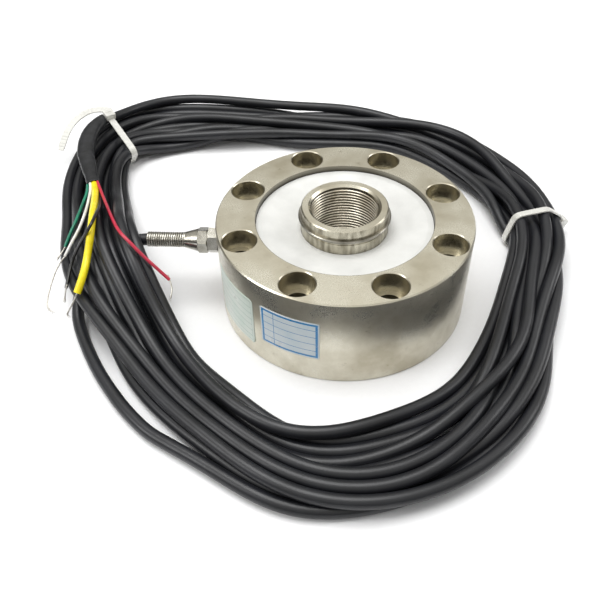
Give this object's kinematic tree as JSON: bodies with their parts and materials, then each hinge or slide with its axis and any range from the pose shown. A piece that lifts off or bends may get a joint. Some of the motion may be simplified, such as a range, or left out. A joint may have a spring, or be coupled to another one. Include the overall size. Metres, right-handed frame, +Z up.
{
  "type": "through-hole load cell",
  "caption": "Spoke-type load cell: flanged steel wheel with sunk bolt holes, raised threaded hub, side cable gland and a tied coil of black cable with bared cores.",
  "frame": {"origin": "centre of the bolt circle on the rim's bottom face", "axes": "+Z up along the centre thread, out of the raised hub; -Y is the side that faces the viewer; the gland points 4 degrees off -X towards +Y"},
  "size_m": [0.3713, 0.4018, 0.0675],
  "materials": {
    "nickel_steel": "satin nickel plate over turned steel, slightly warm",
    "cover_white": "satin white",
    "ring_steel": "bright turned",
    "gland_nickel": "nickel plated, satin",
    "spring_steel": "bright wire",
    "grommet_rubber": "matt",
    "cable_black": "satin black jacket",
    "sleeve_black": "matt shrink sleeve",
    "wire_red": "satin",
    "wire_green": "satin",
    "wire_white": "satin",
    "wire_black": "satin",
    "wire_yellow": "satin",
    "tie_nylon": "milky nylon",
    "gauge_foil": "amber film",
    "board_green": "solder-masked board",
    "foam_grey": "foam",
    "harness_grey": "satin"
  },
  "bodies": {
    "root": {"spoke_body": "nickel_steel", "top_cover": "cover_white", "bottom_cover": "cover_white", "boss_snap_ring": "ring_steel", "board_pad": "foam_grey", "bridge_board": "board_green", "gauge_harness": "harness_grey", "gland_washer": "gland_nickel", "gland_adapter": "gland_nickel", "gland_nut": "gland_nickel", "gland_grommet": "grommet_rubber", "bend_spring": "spring_steel", "cable_entry": "cable_black", "cable_lead": "cable_black", "cable_coil": "cable_black", "end_sleeve": "sleeve_black", "wire_red": "wire_red", "wire_green": "wire_green", "wire_white": "wire_white", "wire_black": "wire_black", "drain_sleeve": "wire_yellow", "cable_tie_left": "tie_nylon", "cable_tie_right": "tie_nylon", "strain_gauge_1": "gauge_foil", "strain_gauge_2": "gauge_foil", "strain_gauge_3": "gauge_foil", "strain_gauge_4": "gauge_foil", "strain_gauge_5": "gauge_foil", "strain_gauge_6": "gauge_foil", "strain_gauge_7": "gauge_foil", "strain_gauge_8": "gauge_foil", "inner_core_1": "wire_red", "inner_core_2": "wire_green", "inner_core_3": "wire_white", "inner_core_4": "wire_black"}
  },
  "joints": []
}
